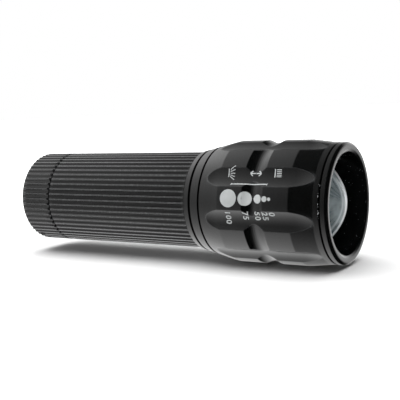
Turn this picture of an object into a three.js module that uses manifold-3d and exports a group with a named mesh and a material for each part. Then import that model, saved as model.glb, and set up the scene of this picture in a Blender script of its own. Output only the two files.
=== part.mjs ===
// Zoom flashlight: a ridged battery tube with a screw-on tail cap, and a fluted head that slides
// forward over the light engine to narrow the beam. Millimetres, +X along the beam, +Z up.
// Each piece is made about its own Z axis, where z is the station: the distance from the tail face.
// The whole light is laid down along +X at the end.

import * as THREE from 'three';
import { mergeVertices } from 'three/addons/utils/BufferGeometryUtils.js';
import Module from 'manifold-3d';

const wasm = await Module();
wasm.setup();

// ---- driving dimensions ----

const TOTAL_LENGTH = 104.4;
const BODY_RADIUS = 14.0;
const COLLAR_RADIUS = 14.85;
const HEAD_RADIUS = 17.15;
const BEZEL_RADIUS = 16.3;
const GAP = 0.3;              // between pieces that touch on the real light
const SEAM = 0.3;             // dark line between two outer pieces

const TAIL_SEAM = 11.0;       // stations of the seams and edges, from the tail face
const RIDGE_END = 61.0;
const BODY_SEAM = 63.45;
const HEAD_SEAM = 66.8;
const LAND_START = 73.45;
const GROOVE_STATION = 83.9;
const TAPER_START = 94.25;
const TAPER_END = 100.5;
const BEZEL_SEAM = 102.3;

const RIDGE_COUNT = 54;
const RIDGE_DEPTH = 0.45;
const FLUTE_COUNT = 9;
const FLUTE_DEPTH = 1.0;
const FLUTE_HALF_WIDTH = 2.76;
const GROOVE_HALF_WIDTH = 2.95;
const GROOVE_DEPTH = 0.85;
const EDGE_BREAK = 0.4;

const ZOOM_TRAVEL = 10.0;
const BUTTON_TRAVEL = 1.5;

const TUBE_BORE = 11.4;
const TAIL_TENON_RADIUS = 12.3;
const TAIL_TENON_START = 7.2;
const PILL_SKIRT_RADIUS = 12.6;
const PILL_SKIRT_START = 58.2;
const NECK_RADIUS = 13.0;
const PISTON_RADIUS = 14.2;
const HEAD_BORE = 14.45;
const FRONT_BORE = 15.35;
const LENS_SHOULDER = 89.5;
const BEZEL_BORE = 13.7;

const CELL_RADIUS = 5.1;
const CELL_LENGTH = 42.6;
const CELL_NUB_LENGTH = 0.8;
const CELL_COUNT = 3;
const CELL_CIRCLE = 6.0;      // cell axes lie on this radius
const HOLDER_RADIUS = 11.1;
const HOLDER_START = 15.6;
const HOLDER_END = 64.3;
const HOLDER_PLATE = 1.4;

const ROUND = 60;             // sides of the head
const MEDIUM_ROUND = 40;
const SMALL_ROUND = 28;
const TINY_ROUND = 14;

// ---- finishes ----

function finish(color, roughness, metalness) {
  return new THREE.MeshStandardMaterial({ color, roughness, metalness });
}
const anodised = () => finish(0x2a2d2e, 0.42, 0.7);
const bareMetal = () => finish(0xb9bcbf, 0.35, 0.9);
const brass = () => finish(0xc9a24d, 0.35, 0.9);
const springSteel = () => finish(0xb0b3b8, 0.3, 1.0);
const rubber = () => finish(0x161717, 0.8, 0.0);
const blackPlastic = () => finish(0x1d1f20, 0.6, 0.0);
const boardGreen = () => finish(0x1f5a3a, 0.5, 0.0);
const whiteBoard = () => finish(0xe6e6e0, 0.5, 0.1);
const cellJacket = () => finish(0x8f9499, 0.35, 0.3);
const clearGlass = () => finish(0xdfe9ee, 0.05, 0.0);
const phosphor = () => finish(0xe8d25a, 0.5, 0.0);

// ---- geometry helpers ----

// A closed manifold from any three.js geometry; triangles that fold to a line are dropped.
function toSolid(geometry) {
  const bare = geometry.clone();
  bare.deleteAttribute('normal');
  bare.deleteAttribute('uv');
  const merged = mergeVertices(bare, 1e-4);
  const index = merged.index.array;
  const triangles = [];
  for (let i = 0; i < index.length; i += 3) {
    const [a, b, c] = [index[i], index[i + 1], index[i + 2]];
    if (a !== b && b !== c && c !== a) triangles.push(a, b, c);
  }
  const vertices = Float32Array.from(merged.attributes.position.array);
  const triVerts = Uint32Array.from(triangles);
  return new wasm.Manifold(new wasm.Mesh({ numProp: 3, vertProperties: vertices, triVerts }));
}

function toGeometry(solid) {
  const mesh = solid.getMesh();
  const geometry = new THREE.BufferGeometry();
  geometry.setAttribute('position', new THREE.BufferAttribute(mesh.vertProperties, 3));
  geometry.setIndex(new THREE.BufferAttribute(mesh.triVerts, 1));
  return geometry;
}

// A turned piece. The profile is [radius, station] points, up the outside and down the inside;
// it starts and ends on the axis, or closes on itself.
function turned(profile, sides = ROUND) {
  const points = profile.map(([radius, station]) => new THREE.Vector2(radius, station));
  const solidCore = profile[0][0] === 0 && profile[profile.length - 1][0] === 0;
  if (!solidCore) points.push(points[0].clone());
  return toSolid(new THREE.LatheGeometry(points, sides).rotateX(Math.PI / 2));
}

function ring(innerRadius, outerRadius, start, end, sides = ROUND) {
  return turned([[innerRadius, start], [outerRadius, start], [outerRadius, end], [innerRadius, end]], sides);
}

function disc(radius, start, end, sides = SMALL_ROUND) {
  return turned([[0, start], [radius, start], [radius, end], [0, end]], sides);
}

function placed(solidOrGeometry, x, y) {
  const geometry = solidOrGeometry.getMesh ? toGeometry(solidOrGeometry) : solidOrGeometry;
  return toSolid(geometry.clone().translate(x, y, 0));
}

// A flat outline in the XY plane raised from one station to another.
function raised(shape, start, end, curveSegments = 8) {
  const options = { depth: end - start, bevelEnabled: false, curveSegments };
  return toSolid(new THREE.ExtrudeGeometry(shape, options).translate(0, 0, start));
}

function box(width, depth, start, end, x = 0, y = 0) {
  const geometry = new THREE.BoxGeometry(width, depth, end - start);
  return toSolid(geometry.translate(x, y, (start + end) / 2));
}

function polar(radius, angle) {
  return [radius * Math.cos(angle), radius * Math.sin(angle)];
}

// Points along a circular arc in the profile plane that bites inwards from a given radius.
function biteArc(radius, middle, halfWidth, depth, steps) {
  const arcRadius = (halfWidth * halfWidth + depth * depth) / (2 * depth);
  const centre = radius - depth + arcRadius;
  const half = Math.asin(halfWidth / arcRadius);
  const points = [];
  for (let i = 0; i <= steps; i += 1) {
    const angle = half * (2 * i / steps - 1);
    points.push([centre - arcRadius * Math.cos(angle), middle + arcRadius * Math.sin(angle)]);
  }
  return points;
}

// A straight prism whose section has evenly spaced flat-topped ridges.
function ridgedPrism(start, end) {
  const pitch = 2 * Math.PI / RIDGE_COUNT;
  const corners = [[-0.22, 0], [0.22, 0], [0.5, RIDGE_DEPTH]];
  const points = [];
  for (let ridge = 0; ridge < RIDGE_COUNT; ridge += 1) {
    for (const [part, depth] of corners) {
      points.push(new THREE.Vector2(...polar(BODY_RADIUS - depth, (ridge + part) * pitch)));
    }
  }
  return raised(new THREE.Shape(points), start, end);
}

// A round wire of the given radius along any curve.
function wire(curve, radius, steps) {
  const sides = 4;
  const section = [];
  for (let i = 0; i < sides; i += 1) {
    section.push(new THREE.Vector2(...polar(radius, 2 * Math.PI * i / sides)));
  }
  const options = { steps, extrudePath: curve, bevelEnabled: false };
  return toSolid(new THREE.ExtrudeGeometry(new THREE.Shape(section), options));
}

class Coil extends THREE.Curve {
  constructor(startRadius, endRadius, start, end, turns) {
    super();
    Object.assign(this, { startRadius, endRadius, start, end, turns });
  }

  getPoint(t, target = new THREE.Vector3()) {
    const radius = THREE.MathUtils.lerp(this.startRadius, this.endRadius, t);
    const [x, y] = polar(radius, 2 * Math.PI * this.turns * t);
    return target.set(x, y, THREE.MathUtils.lerp(this.start, this.end, t));
  }
}

// A compression spring that fills the stations from start to end.
function spring(startRadius, endRadius, wireRadius, start, end, turns) {
  const coil = new Coil(startRadius, endRadius, start + wireRadius, end - wireRadius, turns);
  return wire(coil, wireRadius, Math.round(9 * turns));
}

// ---- tail cap and switch ----

const CAP_WEB_START = 3.9;
const CAP_WEB_END = 4.7;
const RECESS_RADIUS = 10.0;
const BOOT_RADIUS = 6.2;
const BOOT_FLANGE_RADIUS = 10.4;
const BOOT_FLANGE_END = 5.8;
const RETAINER_END = 6.9;
const SWITCH_HOUSING_END = 11.6;
const SWITCH_BOARD_END = 12.7;
const O_RING_COUNTERBORE = 9.8;
const STEM_RADIUS = 1.7;
const STEM_BORE = 2.1;

function tailCap() {
  const end = TAIL_SEAM - SEAM / 2;
  const thread = TAIL_TENON_RADIUS + GAP;
  const blank = turned([
    [RECESS_RADIUS + EDGE_BREAK, 0], [BODY_RADIUS - EDGE_BREAK, 0], [BODY_RADIUS + 1, EDGE_BREAK + 1],
    [BODY_RADIUS + 1, end], [13.05, end], [13.05, O_RING_COUNTERBORE], [thread, O_RING_COUNTERBORE],
    [thread, CAP_WEB_END], [BOOT_RADIUS + GAP, CAP_WEB_END], [BOOT_RADIUS + GAP, CAP_WEB_START],
    [RECESS_RADIUS, CAP_WEB_START], [RECESS_RADIUS, EDGE_BREAK],
  ], MEDIUM_ROUND);
  const ridged = blank.intersect(ridgedPrism(-1, end + 1));
  return lanyardHoles().reduce((cap, hole) => cap.subtract(hole), ridged);
}

// Two small holes side by side through the recess wall, for a lanyard loop.
function lanyardHoles() {
  const holeRadius = 0.9;
  const station = 2.3;
  const middleAngle = THREE.MathUtils.degToRad(-28);
  const halfSpacing = THREE.MathUtils.degToRad(5.4);
  return [-halfSpacing, halfSpacing].map((offset) => {
    const hole = new THREE.CylinderGeometry(holeRadius, holeRadius, 8, 16);
    hole.rotateZ(-Math.PI / 2).translate(BODY_RADIUS - 2, 0, station);
    return toSolid(hole.rotateZ(middleAngle + offset));
  });
}

function switchBoot() {
  return turned([
    [0, 1.0], [2.6, 1.1], [4.6, 1.6], [5.8, 2.4], [BOOT_RADIUS, 3.4], [BOOT_RADIUS, CAP_WEB_END + GAP],
    [BOOT_FLANGE_RADIUS, CAP_WEB_END + GAP], [BOOT_FLANGE_RADIUS, BOOT_FLANGE_END],
    [5.2, BOOT_FLANGE_END], [5.2, 3.5], [4.0, 2.5], [0, 2.1],
  ], SMALL_ROUND);
}

function switchPlunger() {
  const headEnd = RETAINER_END + GAP - BUTTON_TRAVEL - 0.1;
  return turned([
    [0, 3.0], [3.2, 3.0], [3.5, 3.4], [3.5, headEnd], [STEM_RADIUS, headEnd], [STEM_RADIUS, 8.9], [0, 8.9],
  ], TINY_ROUND);
}

function switchRetainer() {
  const slotWidth = 2.0;
  const retainer = ring(7.6, TAIL_TENON_RADIUS - 0.1, BOOT_FLANGE_END + GAP, RETAINER_END, SMALL_ROUND);
  return retainer.subtract(box(2 * TAIL_TENON_RADIUS + 2, slotWidth, BOOT_FLANGE_END + GAP + 0.4, 9));
}

function switchHousing() {
  const start = RETAINER_END + GAP;
  return turned([
    [STEM_BORE, start], [10.2, start], [10.6, start + EDGE_BREAK], [10.6, SWITCH_HOUSING_END],
    [0, SWITCH_HOUSING_END], [0, 11.0], [STEM_BORE, 11.0],
  ], SMALL_ROUND);
}

// ---- battery tube ----

function bodyTube() {
  const start = TAIL_SEAM + SEAM / 2;
  const end = BODY_SEAM - SEAM / 2;
  const tenonEnd = O_RING_COUNTERBORE;
  const socket = PILL_SKIRT_RADIUS + GAP;
  const ridged = ridgedPrism(start, RIDGE_END);
  const tenon = turned([
    [8, TAIL_TENON_START], [TAIL_TENON_RADIUS - EDGE_BREAK, TAIL_TENON_START],
    [TAIL_TENON_RADIUS, TAIL_TENON_START + EDGE_BREAK], [TAIL_TENON_RADIUS, tenonEnd],
    [12.0, tenonEnd], [12.0, start + 0.5], [8, start + 0.5],
  ], MEDIUM_ROUND);
  const collar = turned([
    [8, RIDGE_END - 0.5], [BODY_RADIUS - RIDGE_DEPTH, RIDGE_END - 0.5], [BODY_RADIUS, RIDGE_END],
    [COLLAR_RADIUS, end - 0.4], [COLLAR_RADIUS, end], [8, end],
  ], MEDIUM_ROUND);
  const bore = turned([
    [0, 0], [TUBE_BORE, 0], [TUBE_BORE, PILL_SKIRT_START - GAP], [socket, PILL_SKIRT_START - GAP],
    [socket, end + 1], [0, end + 1],
  ], MEDIUM_ROUND);
  return ridged.add(tenon).add(collar).subtract(bore);
}

// ---- battery cartridge ----

function cellPosition(i) {
  return polar(CELL_CIRCLE, Math.PI + 2 * Math.PI * i / CELL_COUNT);
}

// The middle cell points the other way, so the three are in series.
const CELL_FORWARD = [true, false, true];
const PLATE_TO_CELL = 0.9;    // contact strip with a gap on each side of it
const CELL_BAY_START = HOLDER_START + HOLDER_PLATE;
const CELL_BAY_END = HOLDER_END - HOLDER_PLATE;

function cell(i) {
  const positiveEnd = CELL_BAY_END - PLATE_TO_CELL;
  const shoulder = positiveEnd - CELL_NUB_LENGTH;
  const upright = turned([
    [0, shoulder - CELL_LENGTH], [CELL_RADIUS - 0.4, shoulder - CELL_LENGTH],
    [CELL_RADIUS, shoulder - CELL_LENGTH + 0.4], [CELL_RADIUS, shoulder - 0.4],
    [CELL_RADIUS - 0.4, shoulder], [1.9, shoulder], [1.9, positiveEnd], [0, positiveEnd],
  ], 24);
  return placed(faced(upright, CELL_FORWARD[i]), ...cellPosition(i));
}

// Turns a piece of the cell bay end for end when its cell points to the tail.
function faced(solid, forward) {
  if (forward) return solid;
  const geometry = toGeometry(solid);
  geometry.rotateX(Math.PI).translate(0, 0, CELL_BAY_START + CELL_BAY_END);
  return toSolid(geometry);
}

function cellSpring(i) {
  const start = CELL_BAY_START + 0.6;
  const end = CELL_BAY_END - PLATE_TO_CELL - CELL_NUB_LENGTH - CELL_LENGTH - GAP;
  const coil = spring(3.4, 1.6, 0.22, start, end, 2.5);
  return placed(faced(coil, CELL_FORWARD[i]), ...cellPosition(i));
}

function holderPlate(start, end) {
  const rivetHole = disc(1.5, start - 1, end + 1, TINY_ROUND);
  return disc(HOLDER_RADIUS, start, end).subtract(rivetHole);
}

// A plastic rib between two cells, hollowed on both sides to cradle them.
function holderRib(i) {
  const start = CELL_BAY_START + GAP;
  const end = CELL_BAY_END - GAP;
  const halfStep = Math.PI / CELL_COUNT;
  const bar = box(7, 4.6, start, end, 7.5, 0).intersect(disc(HOLDER_RADIUS, start - 1, end + 1));
  const cradle = disc(CELL_RADIUS + GAP, start - 1, end + 1);
  const neighbours = [-halfStep, halfStep].map((angle) => placed(cradle, ...polar(CELL_CIRCLE, angle)));
  const stripRooms = [disc(9.2, start - 1, start + 0.6), disc(9.2, end - 0.6, end + 1)];
  const rib = [...neighbours, ...stripRooms].reduce((solid, cut) => solid.subtract(cut), bar);
  return toSolid(toGeometry(rib).rotateZ(2 * Math.PI * i / CELL_COUNT));
}

// A strip of sheet metal with round ends, which joins the ends of two cells.
function contactStrip(first, second, start) {
  const halfWidth = 2.2;
  const from = new THREE.Vector2(...cellPosition(first));
  const to = new THREE.Vector2(...cellPosition(second));
  const heading = to.clone().sub(from).angle();
  const outline = new THREE.Shape();
  outline.absarc(from.x, from.y, halfWidth, heading + Math.PI / 2, heading - Math.PI / 2);
  outline.absarc(to.x, to.y, halfWidth, heading - Math.PI / 2, heading + Math.PI / 2);
  return raised(outline, start, start + GAP);
}

function contactPad(i, start) {
  return placed(disc(2.4, start, start + GAP, TINY_ROUND), ...cellPosition(i));
}

// A rivet that carries the current out through the middle of a holder plate.
function rivet(plateFace, direction) {
  const headNear = plateFace + direction * GAP;
  const headFar = headNear + direction * 0.4;
  const shankEnd = plateFace - direction * (HOLDER_PLATE - 0.2);
  const span = (a, b) => [Math.min(a, b), Math.max(a, b)];
  const shank = disc(1.2, ...span(shankEnd, headFar), TINY_ROUND);
  return disc(2.6, ...span(headNear, headFar), TINY_ROUND).add(shank);
}

// ---- light engine ----

const DRIVER_SHOULDER = 68.6;
const PILL_WEB_START = 79.0;
const PILL_WEB_END = 82.0;
const PISTON_START = HEAD_SEAM + SEAM / 2 + 3.05 + ZOOM_TRAVEL + 0.2;
const PISTON_END = 84.8;
const SCREW_CIRCLE = 7.4;
const WIRE_CIRCLE = 9.9;
const BOARD_RADIUS = 9.2;
const LED_BOARD_START = PILL_WEB_END + GAP;
const LED_BOARD_END = LED_BOARD_START + 1.4;

function pillBody() {
  const grooveStart = 81.9;
  const grooveEnd = 83.5;
  const grooveRadius = 13.1;
  const blank = turned([
    [TUBE_BORE, PILL_SKIRT_START], [PILL_SKIRT_RADIUS, PILL_SKIRT_START],
    [PILL_SKIRT_RADIUS, BODY_SEAM], [NECK_RADIUS, BODY_SEAM], [NECK_RADIUS, PISTON_START],
    [PISTON_RADIUS, PISTON_START], [PISTON_RADIUS, grooveStart], [grooveRadius, grooveStart],
    [grooveRadius, grooveEnd], [PISTON_RADIUS, grooveEnd], [PISTON_RADIUS, PISTON_END],
    [12.2, PISTON_END], [12.2, PILL_WEB_END], [0, PILL_WEB_END], [0, PILL_WEB_START],
    [10.6, PILL_WEB_START], [10.6, DRIVER_SHOULDER], [TUBE_BORE, DRIVER_SHOULDER],
  ], MEDIUM_ROUND);
  const holes = wireAngles().map((angle) => placed(disc(1.0, 78, 83, 12), ...polar(WIRE_CIRCLE, angle)));
  const taps = screwAngles().map((angle) => placed(disc(1.2, 78, 83, 12), ...polar(SCREW_CIRCLE, angle)));
  return [...holes, ...taps].reduce((pill, hole) => pill.subtract(hole), blank);
}

function wireAngles() {
  return [0, Math.PI];
}

function screwAngles() {
  return [Math.PI / 2, -Math.PI / 2];
}

// A star-shaped metal board with half-round bites at its rim for screws and wires.
function ledBoard() {
  const bites = 6;
  let board = disc(BOARD_RADIUS, LED_BOARD_START, LED_BOARD_END);
  for (let i = 0; i < bites; i += 1) {
    const centre = polar(BOARD_RADIUS, Math.PI / 6 + i * Math.PI / 3);
    board = board.subtract(placed(disc(1.3, LED_BOARD_START - 1, LED_BOARD_END + 1, 12), ...centre));
  }
  for (const angle of screwAngles()) {
    const centre = polar(SCREW_CIRCLE, angle);
    board = board.subtract(placed(disc(1.2, LED_BOARD_START - 1, LED_BOARD_END + 1, 12), ...centre));
  }
  return board;
}

function ledEmitter() {
  return box(5.0, 5.0, LED_BOARD_END + GAP, LED_BOARD_END + GAP + 0.6);
}

function ledDome() {
  const start = LED_BOARD_END + 2 * GAP + 0.6;
  const radius = 1.8;
  const profile = [[0, start], [radius, start]];
  const steps = 4;
  for (let i = 1; i <= steps; i += 1) {
    const [across, up] = polar(radius, Math.PI / 2 * i / steps);
    profile.push([i === steps ? 0 : across, start + up * 0.8]);
  }
  return turned(profile, TINY_ROUND);
}

function ledScrew(angle) {
  const head = disc(1.7, LED_BOARD_END + GAP, LED_BOARD_END + GAP + 1.0, TINY_ROUND);
  const shank = disc(0.9, 79.6, LED_BOARD_END + GAP + 0.2, 12);
  const slot = box(1.9, 0.5, LED_BOARD_END + GAP + 0.5, LED_BOARD_END + 3);
  return placed(head.add(shank).subtract(slot), ...polar(SCREW_CIRCLE, angle));
}

function ledWire(angle) {
  const radius = 0.45;
  const across = (distance, station) => new THREE.Vector3(...polar(distance, angle), station);
  const top = LED_BOARD_END + GAP + radius;
  const path = new THREE.CurvePath();
  path.add(new THREE.LineCurve3(across(WIRE_CIRCLE, DRIVER_SHOULDER + GAP), across(WIRE_CIRCLE, top - 1.5)));
  path.add(new THREE.QuadraticBezierCurve3(
    across(WIRE_CIRCLE, top - 1.5), across(WIRE_CIRCLE, top), across(WIRE_CIRCLE - 1.5, top),
  ));
  path.add(new THREE.LineCurve3(across(WIRE_CIRCLE - 1.5, top), across(WIRE_CIRCLE - 3.2, top)));
  return wire(path, radius, 12);
}

// The flare from the neck up to the lands of the head: radius and station.
const FLARE = [[15.7, HEAD_SEAM + 0.3], [15.97, 68.3], [16.38, 70.0], [16.8, 71.8], [HEAD_RADIUS, LAND_START]];

function neckCollar() {
  const start = BODY_SEAM + SEAM / 2;
  const end = HEAD_SEAM - SEAM / 2;
  return turned([
    [NECK_RADIUS + GAP, start], [COLLAR_RADIUS, start], [COLLAR_RADIUS + 0.1, start + 0.2],
    [FLARE[0][0], end - 0.2], [FLARE[0][0] - 0.1, end], [NECK_RADIUS + GAP, end],
  ], MEDIUM_ROUND);
}

// ---- zoom head ----

function headSleeve() {
  const start = HEAD_SEAM + SEAM / 2;
  const end = BEZEL_SEAM - SEAM / 2;
  const lipEnd = PISTON_START - ZOOM_TRAVEL - 0.2;
  const blank = turned([
    [NECK_RADIUS + 0.25, start], [FLARE[0][0] - 0.1, start], ...FLARE,
    ...biteArc(HEAD_RADIUS, GROOVE_STATION, GROOVE_HALF_WIDTH, GROOVE_DEPTH, 5),
    [HEAD_RADIUS, TAPER_START], [BEZEL_RADIUS + 0.05, TAPER_END], [BEZEL_RADIUS, end],
    [FRONT_BORE, end], [FRONT_BORE, LENS_SHOULDER], [HEAD_BORE, LENS_SHOULDER],
    [HEAD_BORE, lipEnd], [NECK_RADIUS + 0.25, lipEnd],
  ]);
  const cutter = fluteCutter();
  let sleeve = blank;
  for (let i = 0; i < FLUTE_COUNT; i += 1) {
    sleeve = sleeve.subtract(placed(cutter.solid, ...polar(cutter.distance, 2 * Math.PI * i / FLUTE_COUNT)));
  }
  return sleeve;
}

// A round-nosed cutter that leaves a concave flute with pointed ends.
function fluteCutter() {
  const chordDrop = HEAD_RADIUS - Math.sqrt(HEAD_RADIUS ** 2 - FLUTE_HALF_WIDTH ** 2);
  const sagitta = FLUTE_DEPTH - chordDrop;
  const radius = (FLUTE_HALF_WIDTH ** 2 + sagitta ** 2) / (2 * sagitta);
  const distance = HEAD_RADIUS - FLUTE_DEPTH + radius;
  const solid = turned([
    [0, 64.0], [radius - 0.5, 66.0], [radius - 0.12, 69.5], [radius, 72.0],
    [radius, TAPER_START], [radius - 0.18, 99.9], [radius - 0.7, 103.5], [0, 105.5],
  ], SMALL_ROUND);
  return { solid, distance };
}

const LENS_APEX = 103.0;
const LENS_CURVE_RADIUS = 10.4;
const LENS_CONIC = -1.1;
const LENS_RADIUS = 13.3;
const LENS_FLANGE_RADIUS = 15.0;
const LENS_BACK = LENS_SHOULDER + GAP;
const LENS_FLANGE_END = LENS_BACK + 1.6;
const LENS_RING_END = LENS_FLANGE_END + GAP + 1.0;

// A thick aspheric lens: flat back, thin flange, hyperbolic dome.
function lens() {
  const steps = 8;
  const dome = [];
  for (let i = steps; i >= 0; i -= 1) {
    const radius = LENS_RADIUS * i / steps;
    const root = Math.sqrt(1 - (1 + LENS_CONIC) * radius ** 2 / LENS_CURVE_RADIUS ** 2);
    dome.push([radius, LENS_APEX - radius ** 2 / (LENS_CURVE_RADIUS * (1 + root))]);
  }
  return turned([
    [0, LENS_BACK], [LENS_FLANGE_RADIUS, LENS_BACK], [LENS_FLANGE_RADIUS, LENS_FLANGE_END],
    [LENS_RADIUS, LENS_FLANGE_END], ...dome,
  ], SMALL_ROUND);
}

function bezelRing() {
  const start = LENS_RING_END + GAP;
  const flangeStart = BEZEL_SEAM + SEAM / 2;
  const tube = FRONT_BORE - GAP;
  return turned([
    [BEZEL_BORE, start], [tube, start], [tube, flangeStart], [BEZEL_RADIUS - 0.1, flangeStart],
    [BEZEL_RADIUS, flangeStart + 0.15], [BEZEL_RADIUS, TOTAL_LENGTH - 0.5],
    [BEZEL_RADIUS - 0.6, TOTAL_LENGTH], [BEZEL_BORE + EDGE_BREAK, TOTAL_LENGTH],
    [BEZEL_BORE, TOTAL_LENGTH - EDGE_BREAK],
  ], MEDIUM_ROUND);
}

// A rubber ring with a round section, turned about the axis.
function sealRing(innerRadius, outerRadius, start, end) {
  const sides = 6;
  const profile = [];
  for (let i = 0; i < sides; i += 1) {
    const [across, up] = polar(1, 2 * Math.PI * i / sides);
    profile.push([
      (innerRadius + outerRadius) / 2 + across * (outerRadius - innerRadius) / 2,
      (start + end) / 2 + up * (end - start) / 2,
    ]);
  }
  return turned(profile, SMALL_ROUND);
}

// ---- assembly ----

const light = new THREE.Group();

function add(name, solid, material) {
  const mesh = new THREE.Mesh(toGeometry(solid), material);
  mesh.name = name;
  light.add(mesh);
}

function addTail() {
  add('tail_cap', tailCap(), anodised());
  add('switch_boot', switchBoot(), rubber());
  add('switch_plunger', switchPlunger(), blackPlastic());
  add('switch_retainer', switchRetainer(), bareMetal());
  add('switch_housing', switchHousing(), blackPlastic());
  add('switch_spring', spring(1.3, 1.3, 0.2, 9.2, 10.7, 3), springSteel());
  add('switch_board', disc(10.6, SWITCH_HOUSING_END + GAP, SWITCH_BOARD_END), boardGreen());
  add('tail_spring', spring(4.6, 2.0, 0.35, SWITCH_BOARD_END + GAP, 14.6, 3), springSteel());
  add('tail_o_ring', sealRing(12.15, 12.95, 9.95, 10.75), rubber());
}

function addCartridge() {
  add('holder_rear_plate', holderPlate(HOLDER_START, CELL_BAY_START), blackPlastic());
  add('holder_front_plate', holderPlate(CELL_BAY_END, HOLDER_END), blackPlastic());
  const rearStrip = CELL_BAY_START + GAP;
  const frontStrip = CELL_BAY_END - 2 * GAP;
  add('rear_contact_strip', contactStrip(1, 2, rearStrip), brass());
  add('front_contact_strip', contactStrip(0, 1, frontStrip), brass());
  add('rear_contact_pad', contactPad(0, rearStrip), brass());
  add('front_contact_pad', contactPad(2, frontStrip), brass());
  add('rear_rivet', rivet(HOLDER_START, -1), brass());
  add('front_rivet', rivet(HOLDER_END, 1), brass());
  for (let i = 0; i < CELL_COUNT; i += 1) {
    add(`cell_${i + 1}`, cell(i), cellJacket());
    add(`cell_spring_${i + 1}`, cellSpring(i), springSteel());
    add(`holder_rib_${i + 1}`, holderRib(i), blackPlastic());
  }
}

function addLightEngine() {
  add('pill_body', pillBody(), anodised());
  add('neck_collar', neckCollar(), anodised());
  add('neck_o_ring', sealRing(13.3, 14.38, 82.0, 83.4), rubber());
  const boardStart = DRIVER_SHOULDER - GAP - 1.2;
  add('driver_board', disc(11.1, boardStart, DRIVER_SHOULDER - GAP), boardGreen());
  add('driver_spring', spring(1.4, 2.4, 0.25, HOLDER_END + 1.0, boardStart - GAP, 2), springSteel());
  add('driver_chip', box(5.0, 4.0, DRIVER_SHOULDER, DRIVER_SHOULDER + 1.6, 0, 4.5), blackPlastic());
  add('driver_coil', placed(disc(2.6, DRIVER_SHOULDER, DRIVER_SHOULDER + 3.2, TINY_ROUND), 0, -4.0), bareMetal());
  add('led_board', ledBoard(), whiteBoard());
  add('led_emitter', ledEmitter(), whiteBoard());
  add('led_dome', ledDome(), phosphor());
  screwAngles().forEach((angle, i) => add(`led_screw_${i + 1}`, ledScrew(angle), springSteel()));
  wireAngles().forEach((angle, i) => add(`led_wire_${i + 1}`, ledWire(angle), i ? blackPlastic() : rubber()));
}

function addHead() {
  add('head_sleeve', headSleeve(), anodised());
  add('lens', lens(), clearGlass());
  add('lens_o_ring', sealRing(LENS_RADIUS + 0.2, LENS_FLANGE_RADIUS, LENS_FLANGE_END + GAP, LENS_RING_END), rubber());
  add('bezel_ring', bezelRing(), anodised());
}

addTail();
add('body_tube', bodyTube(), anodised());
addCartridge();
addLightEngine();
addHead();

// Laid down with the beam along +X, resting on the head, with its box centred over the origin.
light.rotation.y = Math.PI / 2;
const flashlight = new THREE.Group();
flashlight.add(light);
flashlight.updateMatrixWorld(true);
const bounds = new THREE.Box3().setFromObject(flashlight, true);
const centre = bounds.getCenter(new THREE.Vector3());
light.position.set(-centre.x, -centre.y, -bounds.min.z);

export default flashlight;
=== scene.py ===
import math

import bmesh
import bpy
import numpy as np
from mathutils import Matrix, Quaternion, Vector


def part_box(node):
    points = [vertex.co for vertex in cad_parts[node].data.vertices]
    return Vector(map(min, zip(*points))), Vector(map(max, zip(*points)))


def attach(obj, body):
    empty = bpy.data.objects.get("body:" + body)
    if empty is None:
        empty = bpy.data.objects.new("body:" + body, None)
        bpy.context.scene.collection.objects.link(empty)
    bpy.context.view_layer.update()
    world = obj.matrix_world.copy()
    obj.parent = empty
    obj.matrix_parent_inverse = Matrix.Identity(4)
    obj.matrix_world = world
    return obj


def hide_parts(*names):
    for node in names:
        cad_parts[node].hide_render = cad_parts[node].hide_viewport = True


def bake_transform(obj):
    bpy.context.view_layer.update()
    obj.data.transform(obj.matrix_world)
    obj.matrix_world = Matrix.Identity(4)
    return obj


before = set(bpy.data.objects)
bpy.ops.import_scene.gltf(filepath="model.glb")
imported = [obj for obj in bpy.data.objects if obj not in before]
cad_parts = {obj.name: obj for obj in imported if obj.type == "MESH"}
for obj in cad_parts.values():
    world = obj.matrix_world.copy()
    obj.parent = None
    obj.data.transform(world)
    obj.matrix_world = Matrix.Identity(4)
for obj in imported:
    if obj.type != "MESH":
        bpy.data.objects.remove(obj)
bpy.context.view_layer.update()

# ---- driving sizes, in millimetres; a station is the distance from the tail face along the light ----

MM = 0.001
TAIL_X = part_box("tail_cap")[0][0]
TOTAL_LENGTH = (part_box("bezel_ring")[1][0] - TAIL_X) / MM
AXIS_Z = (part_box("bezel_ring")[0][2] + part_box("bezel_ring")[1][2]) / 2

BODY_RADIUS = 14.0
COLLAR_RADIUS = 14.85
HEAD_RADIUS = 17.13
BEZEL_RADIUS = 16.3
BEZEL_BORE = 13.75
SEAM_GAP = 0.3
NECK_GAP = 0.38
TAIL_SEAM = 11.0
RIDGE_END = 61.0
BODY_SEAM = 63.45
HEAD_SEAM = 66.8
LAND_START = 73.45
GROOVE_STATION = 83.9
GROOVE_HALF_WIDTH = 2.95
GROOVE_DEPTH = 0.85
TAPER_START = 94.25
TAPER_END = 100.5
BEZEL_SEAM = 102.3
LIP_END = 70.0
LIP_BORE = 13.25
PISTON_START = 80.2
PISTON_END = 84.8
PISTON_RADIUS = 14.2
NECK_RADIUS = 13.0
RIDGE_COUNT = 54
RIDGE_DEPTH = 0.45
FLUTE_COUNT = 9
FLUTE_PITCH = 2 * math.pi / FLUTE_COUNT
FLUTE_DEPTH = 1.0
FLUTE_HALF_WIDTH = 2.76
ROUND = 144

# The land that carries the printed scale is the third from the bottom, on the -Y side.
SCALE_LAND = -2.5 * FLUTE_PITCH


# ---- camera and studio ----

CAMERA_AIM = Vector((0.00586, 0.0, 0.01678))
CAMERA_AZIMUTH = math.radians(31.53)
CAMERA_ELEVATION = math.radians(7.0)
CAMERA_ROLL = math.radians(-2.70)
CAMERA_DISTANCE = 0.22675
CAMERA_LENS = 69.12


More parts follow.
